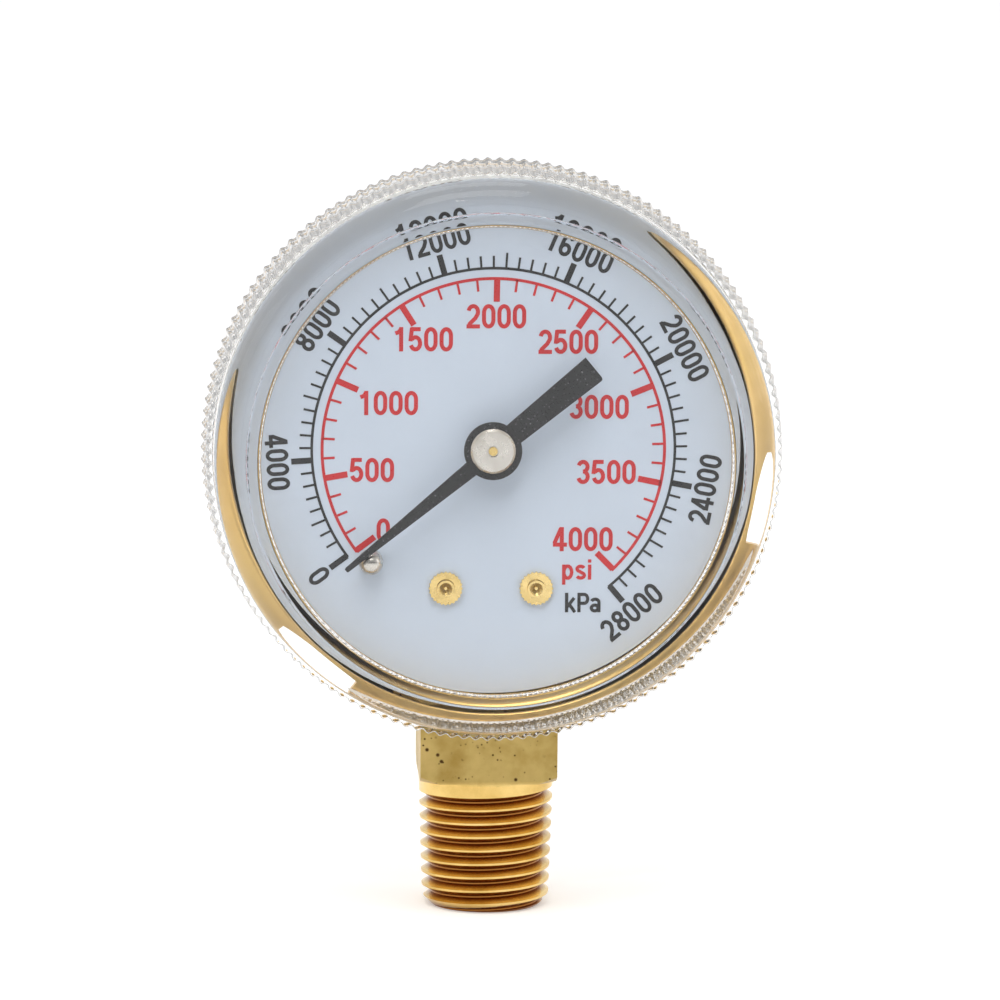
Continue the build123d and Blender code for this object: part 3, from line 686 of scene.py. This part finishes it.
def kpa_angle(value):
    """Dial angle of a kPa value."""
    return KPA_ZERO_ANGLE if value == 0 else KPA_FULL_ANGLE + (28000 - value) / 400 * KPA_STEP


def print_psi():
    """Inner red scale with upright numerals."""
    ink = Print()
    height = 2.47 * MM
    ink.ring(RED_RADIUS, PSI_FULL_ANGLE - 0.6, PSI_ZERO_ANGLE + 0.6, 0.3 * MM)
    for value in [0, *range(200, 4001, 100)]:
        major = value % 500 == 0
        inner = RED_MAJOR_INNER if major else RED_MINOR_INNER
        ink.tick(psi_angle(value), inner, RED_RADIUS, 0.62 * MM if major else 0.24 * MM)
    for value in range(0, 4001, 500):
        word = str(value)
        angle = psi_angle(value)
        half_width = (len(word) * advance("0") - GAP) * height / 2
        reach = min(half_width / max(0.01, abs(cos(radians(angle)))),
                    height / 2 / max(0.01, abs(sin(radians(angle)))))
        ink.text(word, polar(RED_MAJOR_INNER - 0.25 * MM - reach, angle), height)
    ink.text("psi", (8.55 * MM, -12.35 * MM), 2.08 * MM)
    ink.finish("dial_print_red", RED_INK)


def print_kpa():
    """Outer black scale with numerals along the circle."""
    ink = Print()
    height = 2.3 * MM
    ink.ring(BLACK_RADIUS, KPA_FULL_ANGLE - 0.5, KPA_ZERO_ANGLE + 0.5, 0.27 * MM)
    for value in [0, *range(1200, 28001, 400)]:
        outer, width = 19.65 * MM, 0.22 * MM
        if value % 2000 == 0:
            outer = 20.0 * MM
        if value % 4000 == 0:
            outer, width = 20.5 * MM, 0.6 * MM
        ink.tick(kpa_angle(value), BLACK_RADIUS, outer, width)
    for value in range(0, 28001, 4000):
        angle = kpa_angle(value)
        top_outward = 8000 <= value <= 20000
        turn = angle - 90 if top_outward else angle + 90
        ink.text(str(value), polar(21.9 * MM, angle), height, turn)
    ink.text("kPa", (9.2 * MM, -15.75 * MM), 2.0 * MM)
    ink.finish("dial_print_black", BLACK_INK)


print_psi()
print_kpa()


# ---------------------------------------------------------------- studio
def make_floor():
    """Pale matt floor that fills the background."""
    reach = 12.0  # metres from the gauge to the floor's edge
    mesh = bpy.data.meshes.new("floor")
    corners = [(-reach, -reach, 0), (reach, -reach, 0), (reach, reach, 0), (-reach, reach, 0)]
    mesh.from_pydata(corners, [], [(0, 1, 2, 3)])
    floor = bpy.data.objects.new("floor", mesh)
    bpy.context.scene.collection.objects.link(floor)
    floor.location.z = cad_low.z - 0.02 * MM
    shader = Shader("floor", (0.86, 0.86, 0.865), 0.9)
    shader.set("Emission Color", (1, 1, 1, 1))
    shader.set("Emission Strength", 0.3)
    mesh.materials.append(shader.material)


def make_lamp(name, spot, size, power):
    """Square soft box that faces the middle of the gauge. Power is in watts."""
    lamp = bpy.data.lights.new(name, "AREA")
    lamp.shape = "SQUARE"
    lamp.size = size
    lamp.energy = power
    obj = bpy.data.objects.new(name, lamp)
    bpy.context.scene.collection.objects.link(obj)
    obj.location = spot
    towards = Vector((0, 0, AXIS_HEIGHT)) - Vector(spot)
    obj.rotation_mode = "QUATERNION"
    obj.rotation_quaternion = towards.to_track_quat("-Z", "Y")


def make_world():
    """White surroundings, a little darker on the side the dial faces."""
    world = bpy.data.worlds.new("studio")
    world.use_nodes = True
    tree = world.node_tree
    background = tree.nodes["Background"]
    coordinates = tree.nodes.new("ShaderNodeTexCoord")
    split = tree.nodes.new("ShaderNodeSeparateXYZ")
    ramp = tree.nodes.new("ShaderNodeValToRGB")
    span = tree.nodes.new("ShaderNodeMapRange")
    span.inputs["From Min"].default_value = -1
    tree.links.new(coordinates.outputs["Generated"], split.inputs["Vector"])
    tree.links.new(split.outputs["Y"], span.inputs["Value"])
    tree.links.new(span.outputs["Result"], ramp.inputs["Fac"])
    elements = ramp.color_ramp.elements
    elements[0].position, elements[0].color = 0.05, (0.17, 0.175, 0.185, 1)
    elements[1].position, elements[1].color = 0.5, (1, 1, 1, 1)
    tree.links.new(ramp.outputs["Color"], background.inputs["Color"])
    background.inputs["Strength"].default_value = 1.0
    bpy.context.scene.world = world


CAMERA_AZIMUTH = -2.8
CAMERA_ELEVATION = 8.4
CAMERA_ROLL = 0.45
CAMERA_DISTANCE = 0.687
CAMERA_LENS = 241.2
AIM = Vector((1.25 * MM, 0, 41.95 * MM))


def make_camera():
    """Long lens, a little above the dial's axis and to its left."""
    data = bpy.data.cameras.new("camera")
    data.lens = CAMERA_LENS
    data.clip_start = 0.01
    data.clip_end = 50
    camera = bpy.data.objects.new("camera", data)
    bpy.context.scene.collection.objects.link(camera)
    a, e = radians(CAMERA_AZIMUTH), radians(CAMERA_ELEVATION)
    back = Vector((sin(a) * cos(e), -cos(a) * cos(e), sin(e)))
    camera.location = AIM + back * CAMERA_DISTANCE
    camera.rotation_mode = "QUATERNION"
    level = (-back).to_track_quat("-Z", "Y")
    roll = Matrix.Rotation(radians(CAMERA_ROLL), 3, "Z").to_quaternion()
    camera.rotation_quaternion = level @ roll
    bpy.context.scene.camera = camera


make_floor()
make_lamp("top_box", (-0.05, -0.35, 0.75), 0.35, 1.6)
make_lamp("spark", (-0.05, -0.5, 0.5), 0.02, 0.35)
make_lamp("left_box", (-0.7, -0.3, 0.25), 0.4, 0.8)
make_lamp("right_box", (0.7, -0.2, 0.3), 0.4, 0.6)
make_world()
make_camera()
bpy.context.scene.view_settings.view_transform = "Standard"
